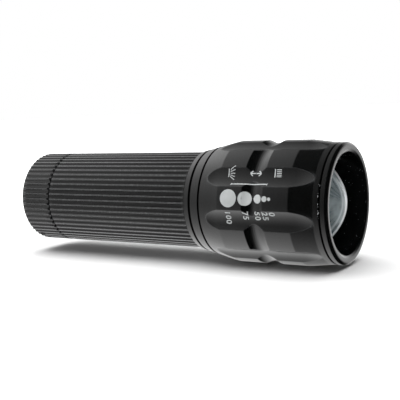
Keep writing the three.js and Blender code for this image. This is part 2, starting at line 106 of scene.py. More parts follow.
def make_camera():
    across = math.cos(CAMERA_ELEVATION)
    back = Vector((
        math.sin(CAMERA_AZIMUTH) * across,
        -math.cos(CAMERA_AZIMUTH) * across,
        math.sin(CAMERA_ELEVATION),
    ))
    data = bpy.data.cameras.new("camera")
    data.lens = CAMERA_LENS
    data.sensor_width = 36.0
    data.clip_start = 0.005
    data.clip_end = 20.0
    camera = bpy.data.objects.new("camera", data)
    camera.location = CAMERA_AIM + CAMERA_DISTANCE * back
    camera.rotation_mode = "QUATERNION"
    level = back.to_track_quat("Z", "Y")
    camera.rotation_quaternion = Quaternion(back, CAMERA_ROLL) @ level
    bpy.context.scene.collection.objects.link(camera)
    bpy.context.scene.camera = camera


make_camera()


# ---- shader nodes; an owner is a material or the world ----

def add_node(owner, kind, **settings):
    node = owner.node_tree.nodes.new(kind)
    for name, value in settings.items():
        setattr(node, name, value)
    return node


def link(owner, source, target):
    owner.node_tree.links.new(source, target)


def calculate(owner, operation, *values, clamp=False):
    """A math node's result; a value is a number or another node's output."""
    node = add_node(owner, "ShaderNodeMath", operation=operation, use_clamp=clamp)
    for socket, value in zip(node.inputs, values):
        if isinstance(value, (int, float)):
            socket.default_value = value
        else:
            link(owner, value, socket)
    return node.outputs[0]


def remap(owner, value, low, high, to_low, to_high):
    """Takes the range low to high to the range to_low to to_high, and holds what lies past its ends."""
    node = add_node(owner, "ShaderNodeMapRange")
    for name, number in zip(("From Min", "From Max", "To Min", "To Max"), (low, high, to_low, to_high)):
        node.inputs[name].default_value = number
    link(owner, value, node.inputs["Value"])
    return node.outputs["Result"]


# ---- lights, world and floor ----

def area_light(name, place, aim, size, power):
    data = bpy.data.lights.new(name, "AREA")
    data.shape = "RECTANGLE"
    data.size, data.size_y = size
    data.energy = power
    light = bpy.data.objects.new(name, data)
    light.visible_glossy = False
    light.location = place
    light.rotation_euler = (Vector(aim) - Vector(place)).to_track_quat("-Z", "Y").to_euler()
    bpy.context.scene.collection.objects.link(light)


# The tent's brightness over directions. Towards the tail it turns from dark to light between these two
# values of the direction's x, with an edge that leans:
TENT_DARK_X = -0.17
TENT_LIGHT_X = -0.62
TENT_LEAN = 0.12
# It is brighter towards the top and bottom, and more so behind:
TENT_STRIP = 2.1
TENT_STRIP_POWER = 1.5
TENT_STRIP_START = -0.2
TENT_STRIP_TILT = 0.2
# What is left of it far behind the light and past its tail, and the directions over which it falls to that:
TENT_FAR = 0.6
TENT_FAR_Y = (0.25, 0.65)
TENT_TAIL_END = 0.5
TENT_TAIL_X = (-0.6, -0.9)
# A soft patch straight behind the light, and a little light from everywhere:
BACK_LIGHT = (0.08, 0.995, 0.02)
TENT_BACK = 1.7
TENT_BACK_SPREAD = (0.82, 0.985)
TENT_BASE = 0.015


def make_world():
    """A light tent: bright above, below and past the tail, dark in front, and plain white to the camera."""
    world = bpy.data.worlds.new("studio")
    bpy.context.scene.world = world
    world.use_nodes = True
    direction = add_node(world, "ShaderNodeTexCoord").outputs["Generated"]
    parts = add_node(world, "ShaderNodeSeparateXYZ")
    link(world, direction, parts.inputs[0])
    along, behind, up = parts.outputs
    leaning = calculate(world, "MULTIPLY_ADD", up, TENT_LEAN, along)
    side = remap(world, leaning, TENT_DARK_X, TENT_LIGHT_X, 0.0, 1.0)
    height = calculate(world, "ABSOLUTE", up)
    strip = calculate(world, "MULTIPLY_ADD", behind, TENT_STRIP_TILT, height)
    strip = remap(world, strip, TENT_STRIP_START, 1.0, 0.0, 1.0)
    strip = calculate(world, "POWER", strip, TENT_STRIP_POWER)
    strip = calculate(world, "MULTIPLY", strip, TENT_STRIP)
    front = calculate(world, "MULTIPLY", side, calculate(world, "ADD", side, strip))
    front = calculate(world, "MULTIPLY", front, remap(world, behind, *TENT_FAR_Y, 1.0, TENT_FAR))
    front = calculate(world, "MULTIPLY", front, remap(world, along, *TENT_TAIL_X, 1.0, TENT_TAIL_END))
    toward = add_node(world, "ShaderNodeVectorMath", operation="DOT_PRODUCT")
    link(world, direction, toward.inputs[0])
    toward.inputs[1].default_value = BACK_LIGHT
    back = remap(world, toward.outputs["Value"], *TENT_BACK_SPREAD, 0.0, TENT_BACK)
    total = calculate(world, "ADD", calculate(world, "ADD", front, back), TENT_BASE)
    tent = add_node(world, "ShaderNodeBackground")
    link(world, total, tent.inputs["Strength"])
    plain = add_node(world, "ShaderNodeBackground")
    plain.inputs["Strength"].default_value = 1.0
    for background in (tent, plain):
        background.inputs["Color"].default_value = (1, 1, 1, 1)
    mix = add_node(world, "ShaderNodeMixShader")
    seen = add_node(world, "ShaderNodeLightPath").outputs["Is Camera Ray"]
    link(world, seen, mix.inputs[0])
    link(world, tent.outputs[0], mix.inputs[1])
    link(world, plain.outputs[0], mix.inputs[2])
    link(world, mix.outputs[0], world.node_tree.nodes["World Output"].inputs["Surface"])


# Half the floor's width, and the distances between which the paper fades to an even white, in metres.
FLOOR_HALF = 4.0
FADE_START = 0.08
FADE_END = 0.5


def make_floor():
    mesh = bpy.data.meshes.new("floor")
    corners = [(x * FLOOR_HALF, y * FLOOR_HALF, 0) for x, y in ((-1, -1), (1, -1), (1, 1), (-1, 1))]
    mesh.from_pydata(corners, [], [(0, 1, 2, 3)])
    floor = bpy.data.objects.new("floor", mesh)
    bpy.context.scene.collection.objects.link(floor)
    mesh.materials.append(paper_material())
    floor.visible_glossy = False


def make_studio():
    bpy.context.scene.view_settings.view_transform = "Standard"
    make_world()
    area_light("top_softbox", place=(-0.05, 0.05, 0.6), aim=(0.0, 0.0, 0.017), size=(0.9, 0.9), power=9.0)
    make_floor()


# ---- materials ----

SPECULAR = 0.5
BLACK = (0, 0, 0)
WHITE = (1, 1, 1)


def new_material(name, colour, roughness, metallic=0.0):
    material = bpy.data.materials.new(name)
    material.use_nodes = True
    shader = material.node_tree.nodes["Principled BSDF"]
    shader.inputs["Base Color"].default_value = (*colour, 1)
    shader.inputs["Roughness"].default_value = roughness
    shader.inputs["Metallic"].default_value = metallic
    shader.inputs["Specular IOR Level"].default_value = SPECULAR
    return material


def shader_of(material):
    return material.node_tree.nodes["Principled BSDF"]


def object_coordinates(material):
    return add_node(material, "ShaderNodeTexCoord").outputs["Object"]


def noise(material, vector, scale, detail=3.0, roughness=0.55):
    node = add_node(material, "ShaderNodeTexNoise")
    node.inputs["Scale"].default_value = scale
    node.inputs["Detail"].default_value = detail
    node.inputs["Roughness"].default_value = roughness
    link(material, vector, node.inputs["Vector"])
    return node.outputs["Fac"]


def ramp(material, value, low, high, low_colour, high_colour):
    node = add_node(material, "ShaderNodeValToRGB")
    node.color_ramp.elements[0].position = low
    node.color_ramp.elements[0].color = (*low_colour, 1)
    node.color_ramp.elements[1].position = high
    node.color_ramp.elements[1].color = (*high_colour, 1)
    link(material, value, node.inputs["Fac"])
    return node.outputs["Color"]


def spread(material, value, low, high):
    """Maps a 0 to 1 value to the range low to high."""
    return remap(material, value, 0.0, 1.0, low, high)


def bump(material, height, depth_mm, strength=1.0):
    node = add_node(material, "ShaderNodeBump")
    node.inputs["Distance"].default_value = depth_mm * MM
    node.inputs["Strength"].default_value = strength
    link(material, height, node.inputs["Height"])
    link(material, node.outputs["Normal"], shader_of(material).inputs["Normal"])


def mix_colour(material, amount, first, second):
    node = add_node(material, "ShaderNodeMix", data_type="RGBA")
    link(material, amount, node.inputs["Factor"])
    for socket, value in ((node.inputs[6], first), (node.inputs[7], second)):
        if isinstance(value, tuple):
            socket.default_value = (*value, 1)
        else:
            link(material, value, socket)
    return node.outputs[2]


def grained(name, dark, light, roughness, grain_mm, depth_mm):
    """A plain surface with a soft mottle and a fine even grain."""
    material = new_material(name, dark, sum(roughness) / 2)
    place = object_coordinates(material)
    mottle = noise(material, place, 1 / (6 * MM), 4.0)
    colour = ramp(material, mottle, 0.35, 0.7, dark, light)
    link(material, colour, shader_of(material).inputs["Base Color"])
    grain = noise(material, place, 1 / (grain_mm * MM), 2.0)
    link(material, spread(material, grain, *roughness), shader_of(material).inputs["Roughness"])
    bump(material, grain, depth_mm)
    return material


# What the edge attribute means to the anodising: above 0 it is paler, unevenly, by a share within the range
# below, partly rubbed wear and partly a painted highlight; below 0 its reflection is duller, most at the
# valley level below, a painted shade in the hollows; past the speck level it has pale specks.
RUBBING_AND_HIGHLIGHT = (0.08, 0.2)
SHADED_VALLEY = -1.0
SHADED_VALLEY_SPECULAR = 0.2
SPECKS_BELOW = -1.5


def anodised_material(name="anodised"):
    """Black anodised aluminium, paler, duller or specked where the edge attribute says so: the paler is
    partly rubbed wear and partly a painted highlight, the duller is a painted shade.
    """
    dark = (0.0012, 0.0014, 0.0014)
    light = (0.0020, 0.0023, 0.0023)
    rubbed_and_highlight_colour = (0.30, 0.31, 0.32)
    # The pale colour of the specks.
    bare = (0.75, 0.77, 0.79)
    material = new_material(name, dark, 0.2)
    place = object_coordinates(material)
    mottle = noise(material, place, 1 / (7 * MM), 4.0)
    base = ramp(material, mottle, 0.35, 0.7, dark, light)
    edge = add_node(material, "ShaderNodeAttribute", attribute_name="edge").outputs["Fac"]
    scuff = noise(material, place, 1 / (0.9 * MM), 4.0, 0.7)
    patch = remap(material, scuff, 0.48, 0.72, *RUBBING_AND_HIGHLIGHT)
    # Paler crowns and flute edges: partly rubbed wear, partly a painted highlight.
    worn_and_highlit = calculate(material, "MULTIPLY", edge, patch, clamp=True)
    # Duller reflection in the ridges' valleys: a painted shade.
    painted_shade_sheen = remap(material, edge, SHADED_VALLEY, 0.0, SHADED_VALLEY_SPECULAR, SPECULAR)
    link(material, painted_shade_sheen, shader_of(material).inputs["Specular IOR Level"])
    colour = mix_colour(material, worn_and_highlit, base, rubbed_and_highlight_colour)
    flakes = ramp(material, noise(material, place, 1 / (0.6 * MM), 2.0), 0.56, 0.62, BLACK, WHITE)
    pale_specks = calculate(material, "MULTIPLY", calculate(material, "LESS_THAN", edge, SPECKS_BELOW), flakes)
    colour = mix_colour(material, pale_specks, colour, bare)
    link(material, colour, shader_of(material).inputs["Base Color"])
    grain = noise(material, place, 1 / (0.12 * MM), 2.0)
    link(material, spread(material, grain, 0.17, 0.24), shader_of(material).inputs["Roughness"])
    bump(material, grain, 0.0015)
    return material


def axis_parts(material):
    """A place's distance along the light, and the vector that leads to it straight out from the axis."""
    parts = add_node(material, "ShaderNodeSeparateXYZ")
    link(material, object_coordinates(material), parts.inputs[0])
    outward = add_node(material, "ShaderNodeCombineXYZ")
    link(material, parts.outputs["Y"], outward.inputs["Y"])
    link(material, calculate(material, "SUBTRACT", parts.outputs["Z"], AXIS_Z), outward.inputs["Z"])
    return parts.outputs["X"], outward.outputs[0]


def turned_coordinates(material):
    """Station and distance from the axis, so that a noise on them runs round the light."""
    along, outward = axis_parts(material)
    distance = add_node(material, "ShaderNodeVectorMath", operation="LENGTH")
    link(material, outward, distance.inputs[0])
    rings = add_node(material, "ShaderNodeCombineXYZ")
    link(material, along, rings.inputs["X"])
    link(material, distance.outputs["Value"], rings.inputs["Y"])
    return rings.outputs[0]


def radial_coordinates(material):
    """The direction out from the axis, so that a noise on it runs out in streaks."""
    outward = add_node(material, "ShaderNodeVectorMath", operation="NORMALIZE")
    link(material, axis_parts(material)[1], outward.inputs[0])
    return outward.outputs[0]


def machined_material(name, dark, light, roughness, line_mm=0.12, depth_mm=0.004, metallic=1.0):
    """Bare or plated metal with fine turning lines round the axis."""
    material = new_material(name, dark, sum(roughness) / 2, metallic)
    lines = noise(material, turned_coordinates(material), 1 / (line_mm * MM), 2.0)
    link(material, ramp(material, lines, 0.3, 0.7, dark, light), shader_of(material).inputs["Base Color"])
    link(material, spread(material, lines, *roughness), shader_of(material).inputs["Roughness"])
    bump(material, lines, depth_mm)
    return material


SHADED_BORE_SPECULAR = 0.1


def bezel_material():
    """The bezel's anodising, with a dusting of fine pale specks inside its bore, and a duller reflection
    there, a painted shade.
    """
    material = anodised_material("anodised_bezel")
    place = object_coordinates(material)
    specks = add_node(material, "ShaderNodeTexVoronoi")
    specks.inputs["Scale"].default_value = 1 / (0.6 * MM)
    link(material, place, specks.inputs["Vector"])
    dots = ramp(material, specks.outputs["Distance"], 0.10, 0.17, WHITE, BLACK)
    thin = ramp(material, noise(material, place, 1 / (1.6 * MM)), 0.52, 0.6, BLACK, WHITE)
    split = add_node(material, "ShaderNodeSeparateXYZ")
    link(material, turned_coordinates(material), split.inputs[0])
    inside = calculate(material, "LESS_THAN", split.outputs["Y"], (BEZEL_BORE + 0.1) * MM)
    dusty = calculate(material, "MULTIPLY", calculate(material, "MULTIPLY", dots, thin), inside)
    colour = shader_of(material).inputs["Base Color"]
    plain = colour.links[0].from_socket
    link(material, mix_colour(material, dusty, plain, (0.24, 0.25, 0.26)), colour)
    # Duller inside the bore: a painted shade in the recess.
    painted_shade_sheen = spread(material, inside, SPECULAR, SHADED_BORE_SPECULAR)
    link(material, painted_shade_sheen, shader_of(material).inputs["Specular IOR Level"])
    return material


def ink_material():
    return grained("ink", (0.40, 0.42, 0.42), (0.54, 0.56, 0.56), (0.45, 0.6), 0.15, 0.004)


# The painted highlight on the lens, from face on at 0 to edge on at 1: where it rises the lens is less
# clear and whiter, in a line at its outline and a fainter one within that.
RIM_HIGHLIGHT_STEPS = (
    (0.0, 0.0), (0.46, 0.0), (0.53, 0.35), (0.58, 0.03), (0.68, 0.05), (0.77, 0.9), (1.0, 1.0),
)
LENS_CLEARNESS = 0.62


def glass_material():
    """A clear moulded lens with a painted highlight along its edge, and painted reflection: grey-blue
    blotches and fine streaks that run out from its middle.
    """
    material = new_material("lens_glass", (0.93, 0.965, 0.97), 0.02)
    shader = shader_of(material)
    shader.inputs["IOR"].default_value = 1.49
    place = object_coordinates(material)
    smear = noise(material, place, 1 / (3.0 * MM), 5.0, 0.65)
    link(material, spread(material, smear, 0.0, 0.06), shader.inputs["Roughness"])
    # Painted highlight: whiter and less clear towards the lens's outline.
    facing = add_node(material, "ShaderNodeLayerWeight")
    rim = add_node(material, "ShaderNodeValToRGB")
    elements = rim.color_ramp.elements
    elements.remove(elements[0])
    for index, (position, level) in enumerate(RIM_HIGHLIGHT_STEPS):
        element = elements[0] if index == 0 else elements.new(position)
        element.position = position
        element.color = (level, level, level, 1)
    link(material, facing.outputs["Facing"], rim.inputs["Fac"])
    clearness = spread(material, rim.outputs["Color"], LENS_CLEARNESS, 0.0)
    link(material, clearness, shader.inputs["Transmission Weight"])
    # Painted reflection: grey-blue blotches and streaks in the lens.
    reflection_streak_mask = noise(material, radial_coordinates(material), 7.0, 3.0, 0.7)
    blotches = noise(material, place, 1 / (4.5 * MM), 2.0)
    painted_reflection_blotches = ramp(material, blotches, 0.4, 0.6, (0.04, 0.09, 0.11), (0.48, 0.56, 0.58))
    painted_reflection_streaked = mix_colour(material, reflection_streak_mask, painted_reflection_blotches, (0.66, 0.74, 0.76))
    bright = mix_colour(material, rim.outputs["Color"], painted_reflection_streaked, (0.95, 0.98, 1.0))
    link(material, bright, shader.inputs["Base Color"])
    return material


def rubber_material():
    return grained("rubber", (0.018, 0.018, 0.019), (0.028, 0.028, 0.029), (0.6, 0.8), 0.25, 0.012)


def plastic_material():
    return grained("black_plastic", (0.02, 0.02, 0.021), (0.03, 0.03, 0.031), (0.42, 0.58), 0.3, 0.008)


def jacket_material():
    """A cell's plain satin silver jacket."""
    dark = (0.34, 0.36, 0.38)
    light = (0.45, 0.47, 0.50)
    gloss = (0.3, 0.42)
    return machined_material("cell_jacket", dark, light, gloss, line_mm=0.4, depth_mm=0.002, metallic=0.7)


def board_material(name, dark, light):
    """Solder mask with faint copper tracks under it."""
    material = new_material(name, dark, 0.32)
    place = object_coordinates(material)
    tracks = add_node(material, "ShaderNodeTexVoronoi", feature="DISTANCE_TO_EDGE")
    tracks.inputs["Scale"].default_value = 1 / (2.4 * MM)
    link(material, place, tracks.inputs["Vector"])
    colour = ramp(material, tracks.outputs["Distance"], 0.05, 0.12, light, dark)
    link(material, colour, shader_of(material).inputs["Base Color"])
    bump(material, tracks.outputs["Distance"], 0.02, 0.5)
    return material


def paper_material():
    """White paper that fades into an even white away from the middle."""
    material = grained("studio_paper", (0.86, 0.86, 0.86), (0.88, 0.88, 0.88), (0.85, 0.95), 2.0, 0.01)
    away = add_node(material, "ShaderNodeVectorMath", operation="LENGTH")
    link(material, object_coordinates(material), away.inputs[0])
    far = remap(material, away.outputs["Value"], FADE_START, FADE_END, 0.0, 1.0)
    shader_of(material).inputs["Emission Color"].default_value = (*WHITE, 1)
    link(material, far, shader_of(material).inputs["Emission Strength"])
    return material


# ---- mesh building ----

ARC_STEPS = 4
SMOOTH_ANGLE = math.radians(40)


def fillet(profile):
    """Rounds the corners of a closed profile of (station, radius, corner radius) points."""
    rounded = []
    count = len(profile)
    for i, (station, radius, corner) in enumerate(profile):
        point = Vector((station, radius))
        before = Vector(profile[i - 1][:2]) - point
        after = Vector(profile[(i + 1) % count][:2]) - point
        if corner <= 0 or before.length < 1e-6 or after.length < 1e-6:
            rounded.append((station, radius))
            continue
        turn = before.angle(after)
        reach = min(corner / math.tan(turn / 2), 0.49 * before.length, 0.49 * after.length)
        start = point + before.normalized() * reach
        end = point + after.normalized() * reach
        for step in range(ARC_STEPS + 1):
            t = step / ARC_STEPS
            place = (1 - t) ** 2 * start + 2 * t * (1 - t) * point + t ** 2 * end
            rounded.append((place.x, place.y))
    return rounded


def fillet_open(points):
    """Rounds an open profile: its two end points stay as they are."""
    ends = [(s, r, 0 if i in (0, len(points) - 1) else c) for i, (s, r, c) in enumerate(points)]
    return fillet(ends)


def ring_points(station, radii, angles):
    """Points round the axis; an angle is measured from straight down, towards +Y."""
    x = np.full(len(angles), TAIL_X + station * MM)
    y = radii * MM * np.sin(angles)
    z = AXIS_Z - radii * MM * np.cos(angles)
    return np.stack([x, y, z], axis=1)


def even_angles(count):
    return np.linspace(0, 2 * math.pi, count, endpoint=False)


def new_object(name, vertices, faces, edge=None):
    mesh = bpy.data.meshes.new(name)
    mesh.from_pydata([tuple(v) for v in vertices], [], faces)
    if edge is not None:
        attribute = mesh.attributes.new("edge", "FLOAT", "POINT")
        attribute.data.foreach_set("value", np.asarray(edge, dtype=np.float32))
    bm = bmesh.new()
    bm.from_mesh(mesh)
    bmesh.ops.recalc_face_normals(bm, faces=bm.faces)
    bm.to_mesh(mesh)
    bm.free()
    piece = bpy.data.objects.new(name, mesh)
    bpy.context.scene.collection.objects.link(piece)
    shade_smooth(piece)
    return piece


def shade_smooth(piece):
    mesh = piece.data
    mesh.polygons.foreach_set("use_smooth", [True] * len(mesh.polygons))
    mesh.set_sharp_from_angle(angle=SMOOTH_ANGLE)
    weighted = piece.modifiers.new("face_weighted_normals", "WEIGHTED_NORMAL")
    weighted.keep_sharp = True


def loft(name, rings, edge=None, closed=True):
    """Joins rings of points into a skin: closed on itself, or with its first and last rings filled."""
    rings = np.asarray(rings)
    levels, around, _ = rings.shape
    faces = []
    for level in range(levels if closed else levels - 1):
        here = level * around
        there = ((level + 1) % levels) * around
        for j in range(around):
            k = (j + 1) % around
            faces.append((here + j, here + k, there + k, there + j))
    vertices = rings.reshape(-1, 3)
    if not closed:
        last = (levels - 1) * around
        tips = np.stack([rings[0].mean(axis=0), rings[-1].mean(axis=0)])
        first_tip = len(vertices)
        vertices = np.concatenate([vertices, tips])
        for j in range(around):
            k = (j + 1) % around
            faces.append((first_tip, k, j))
            faces.append((first_tip + 1, last + j, last + k))
        if edge is not None:
            edge = np.concatenate([np.ravel(edge), [0.0, 0.0]])
    if edge is not None:
        edge = np.ravel(edge)
    return new_object(name, vertices, faces, edge)


def turned(name, profile, around=ROUND, closed=True):
    """A turned piece from (station, radius, corner radius) points."""
    rounded = fillet(profile) if closed else fillet_open(profile)
    angles = even_angles(around)
    rings = [ring_points(s, np.full(around, r), angles) for s, r in rounded]
    return loft(name, rings, closed=closed)


def threads(start, end, crest, depth, pitch):
    """Profile points of a thread's crests and roots between two stations."""
    points = []
    turns = int(abs(end - start) / pitch)
    step = (end - start) / turns
    for i in range(turns):
        base = start + i * step
        points += [(base + 0.1 * step, crest, 0), (base + 0.4 * step, crest - depth, 0)]
        points += [(base + 0.6 * step, crest - depth, 0), (base + 0.9 * step, crest, 0)]
    return points


def finish_piece(piece, material, body, node):
    """Gives a piece its material and the body that carries it, and hides the CAD node it stands for."""
    piece.data.materials.clear()
    piece.data.materials.append(material)
    if body:
        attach(piece, body)
    if node:
        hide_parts(node)


# ---- ridged tube and tail cap ----

# Across one ridge pitch: place from the ridge's middle, share of the full depth, and a third value: above 0
# edge wear and a painted highlight on the crown, below 0 a painted shade that dulls the valley.
RIDGE_SECTION = [
    (0.0, 0.0, 0.7), (0.07, 0.0, 1.0), (0.12, 0.04, 1.0), (0.155, 0.14, 0.5), (0.22, 0.50, -0.4),
    (0.29, 0.80, -0.8), (0.38, 0.96, -1.0), (0.50, 1.0, -1.0),
]
SEAM_CHAMFER = 0.4
# Surfaces inside this radius belong to a bore, and carry no wear, painted highlight or painted shade.
RIDGED_ABOVE = BODY_RADIUS - 0.7


def ridge_pattern():
    """Angles round the tube with the groove depth share, and the share of wear, painted highlight and
    painted shade, at each.
    """
    mirrored = [(1 - place, depth, wear_and_painted_light) for place, depth, wear_and_painted_light in reversed(RIDGE_SECTION[1:-1])]
    section = RIDGE_SECTION + mirrored
    angles, depths, wear_and_painted_light_shares = [], [], []
    for ridge in range(RIDGE_COUNT):
        for place, depth, wear_and_painted_light in section:
            angles.append((ridge + place) * 2 * math.pi / RIDGE_COUNT)
            depths.append(depth)
            wear_and_painted_light_shares.append(wear_and_painted_light)
    return np.array(angles), np.array(depths), np.array(wear_and_painted_light_shares)


def ridged(name, profile, amount_at, contrast=1.0):
    """A turned piece cut back to the ridged section by amount_at(station), and left round at None."""
    angles, depths, wear_and_painted_light_shares = ridge_pattern()
    rings, edge = [], []
    for station, radius in profile:
        amount = amount_at(station)
        radii = np.full(len(angles), radius)
        wear_and_painted_light = np.zeros(len(angles))
        if amount is not None:
            radii = np.minimum(radii, BODY_RADIUS - amount * RIDGE_DEPTH * depths)
            if radius > RIDGED_ABOVE:
                # The crowns get wear and a painted highlight, the valleys a painted shade.
                wear_and_painted_light = wear_and_painted_light_shares * amount * contrast
        rings.append(ring_points(station, radii, angles))
        edge.append(wear_and_painted_light)
    return loft(name, rings, edge)


def make_body_tube():
    start = TAIL_SEAM + SEAM_GAP / 2
    end = BODY_SEAM - NECK_GAP / 2
    run_out = 0.9
    outside = [(7.2, 11.4, 0.1), (7.2, 12.1, 0), (7.4, 12.3, 0)]
    outside += threads(7.5, 9.6, 12.3, 0.3, 0.52)
    outside += [(9.8, 12.3, 0.05), (9.8, 12.0, 0.05), (start, 12.0, 0.05)]
    outside += [(start, BODY_RADIUS - SEAM_CHAMFER, 0), (start + SEAM_CHAMFER, BODY_RADIUS, 0)]
    outside += [(RIDGE_END - run_out + run_out * i / 8, BODY_RADIUS, 0) for i in range(9)]
    outside += [(RIDGE_END + 0.1, BODY_RADIUS + 0.15, 0), (61.5, BODY_RADIUS + 0.5, 0.4)]
    outside += [(end - 0.25, COLLAR_RADIUS - 0.05, 0), (end, COLLAR_RADIUS - 0.35, 0)]
    inside = [(end, 12.9, 0.1), (57.9, 12.9, 0.1), (57.9, 11.4, 0.1)]

    def amount(station):
        if station < start or station > RIDGE_END:
            return None
        left = (RIDGE_END - station) / run_out
        return 1.0 if left >= 1 else math.sqrt(max(0.0, 1 - (1 - left) ** 2))

    return ridged("body_tube_fine", fillet(outside + inside), amount)


def make_tail_cap():
    end = TAIL_SEAM - SEAM_GAP / 2
    outside = [(0.0, 10.4, 0.15), (0.0, 13.55, 0.1), (0.45, BODY_RADIUS, 0)]
    outside += [(2.0, BODY_RADIUS, 0), (5.0, BODY_RADIUS, 0), (8.0, BODY_RADIUS, 0)]
    outside += [(end - SEAM_CHAMFER, BODY_RADIUS, 0), (end, BODY_RADIUS - SEAM_CHAMFER, 0)]
    inside = [(end, 13.05, 0.1), (9.8, 13.05, 0.05), (9.8, 12.6, 0)]
    inside += threads(9.7, 6.9, 12.9, 0.3, 0.52)
    inside += [(6.7, 12.6, 0), (4.7, 12.6, 0.1), (4.7, 6.5, 0.1), (3.9, 6.5, 0.1), (3.9, 10.0, 0.35)]
    inside += [(0.45, 10.0, 0)]
    cap = ridged("tail_cap_fine", fillet(outside + inside), lambda s: 1.0, 0.5)
    cut_lanyard_holes(cap)
    return cap


def cut_lanyard_holes(cap):
    hole_radius = 0.9 * MM
    station = 2.3
    middle = -28
    for offset in (-5.4, 5.4):
        angle = math.radians(middle + offset)
        direction = Vector((0, math.sin(angle), -math.cos(angle)))
        centre = Vector((TAIL_X + station * MM, 0, AXIS_Z)) + direction * (BODY_RADIUS - 2) * MM
        bm = bmesh.new()
        bmesh.ops.create_cone(
            bm, cap_ends=True, segments=32, radius1=hole_radius, radius2=hole_radius, depth=8 * MM,
        )
        mesh = bpy.data.meshes.new("hole_cutter")
        bm.to_mesh(mesh)
        bm.free()
        cutter = bpy.data.objects.new("hole_cutter", mesh)
        cutter.rotation_euler = direction.to_track_quat("Z", "Y").to_euler()
        cutter.location = centre
        bpy.context.scene.collection.objects.link(cutter)
        apply_boolean(cap, cutter)
    shade_smooth(cap)


def apply_boolean(piece, cutter):
    """Cuts the cutter out of the piece for good, and deletes it."""
    piece.modifiers.clear()
    cut = piece.modifiers.new("cut", "BOOLEAN")
    cut.operation = "DIFFERENCE"
    cut.solver = "EXACT"
    cut.object = cutter
    bpy.context.view_layer.update()
    evaluated = piece.evaluated_get(bpy.context.evaluated_depsgraph_get())
    result = bpy.data.meshes.new_from_object(evaluated)
    piece.modifiers.clear()
    piece.data = result
    bpy.data.objects.remove(cutter, do_unlink=True)


# ---- zoom head ----

CHORD_DROP = HEAD_RADIUS - math.sqrt(HEAD_RADIUS ** 2 - FLUTE_HALF_WIDTH ** 2)
CUTTER_SAG = FLUTE_DEPTH - CHORD_DROP
CUTTER_RADIUS = (FLUTE_HALF_WIDTH ** 2 + CUTTER_SAG ** 2) / (2 * CUTTER_SAG)
CUTTER_DISTANCE = HEAD_RADIUS - FLUTE_DEPTH + CUTTER_RADIUS
REAR_RUN_OUT = 72.5
FRONT_RUN_OUT = 95.5
RUN_OUT_CURVE = 0.009
EDGE_ROUNDING = 0.06


def groove_arc():
    """The round-bottomed groove round the head, as profile points."""
    arc_radius = (GROOVE_HALF_WIDTH ** 2 + GROOVE_DEPTH ** 2) / (2 * GROOVE_DEPTH)
    middle = HEAD_RADIUS - GROOVE_DEPTH + arc_radius
    half = math.asin(GROOVE_HALF_WIDTH / arc_radius)
    steps = 10
    points = []
    for i in range(steps + 1):
        angle = half * (2 * i / steps - 1)
        corner = 0.12 if i in (0, steps) else 0
        station = GROOVE_STATION + arc_radius * math.sin(angle)
        points.append((station, middle - arc_radius * math.cos(angle), corner))
    return points


def head_outline():
    start = HEAD_SEAM + NECK_GAP / 2
    end = BEZEL_SEAM - SEAM_GAP / 2
    rear = [(start, 15.5, 0), (start + 0.15, 15.68, 0.05), (68.3, 15.97, 1.0), (70.0, 16.38, 1.0)]
    rear += [(71.8, 16.8, 1.0), (LAND_START, HEAD_RADIUS, 0.12)]
    front = [(TAPER_START, HEAD_RADIUS, 0.12), (TAPER_END, BEZEL_RADIUS + 0.05, 1.5)]
    front += [(end - 0.15, BEZEL_RADIUS, 0), (end, BEZEL_RADIUS - 0.15, 0)]
    return fillet_open(rear + groove_arc() + front)


HEAD_OUTLINE = head_outline()
OUTLINE_STATIONS = np.array([s for s, _ in HEAD_OUTLINE])
OUTLINE_RADII = np.array([r for _, r in HEAD_OUTLINE])


def cutter_radius(station):
    """The flute's own radius, which runs out smoothly towards both of its tips."""
    past = max(0.0, REAR_RUN_OUT - station, station - FRONT_RUN_OUT)
    return CUTTER_RADIUS - RUN_OUT_CURVE * past ** 2


def flute_half_angle(station):
    """Half the angle that a flute spans at a station, and nearly nothing past its tips."""
    radius = np.interp(station, OUTLINE_STATIONS, OUTLINE_RADII)
    reach = cutter_radius(station)
    cosine = (radius ** 2 + CUTTER_DISTANCE ** 2 - reach ** 2) / (2 * radius * CUTTER_DISTANCE)
    return math.acos(min(1.0, max(-1.0, cosine))) if cosine < 1 else 0.0


def head_radius(station, angle):
    """The head's outer radius, and how close it is to a flute's edge, 0 to 1."""
    land = np.interp(station, OUTLINE_STATIONS, OUTLINE_RADII)
    away = (angle + FLUTE_PITCH / 2) % FLUTE_PITCH - FLUTE_PITCH / 2
    reach = cutter_radius(station)
    inside = reach ** 2 - (CUTTER_DISTANCE * math.sin(away)) ** 2
    if inside <= 0:
        return land, 0.0
    flute = CUTTER_DISTANCE * math.cos(away) - math.sqrt(inside)
    gap = abs(land - flute)
    blend = max(0.0, EDGE_ROUNDING - gap)
    return min(land, flute) - blend ** 2 / (4 * EDGE_ROUNDING), blend / EDGE_ROUNDING


def head_angles(station):
    """Angles round the head that follow the edges of the flutes."""
    half = max(flute_half_angle(station), math.radians(0.4))
    lip = math.radians(0.45)
    inner = [-1, -0.8, -0.6, -0.4, -0.2, 0, 0.2, 0.4, 0.6, 0.8, 1]
    across = [part * max(half - lip, half * 0.5) for part in inner]
    outer_start = half + lip
    outer_end = FLUTE_PITCH - half - lip
    outer = [outer_start + (outer_end - outer_start) * i / 12 for i in range(13)]
    one = across + [half - lip * 0.3, half + lip * 0.3] + outer
    one += [FLUTE_PITCH - half - lip * 0.3, FLUTE_PITCH - half + lip * 0.3]
    one = sorted(one)
    return np.array([i * FLUTE_PITCH + angle for i in range(FLUTE_COUNT) for angle in one])


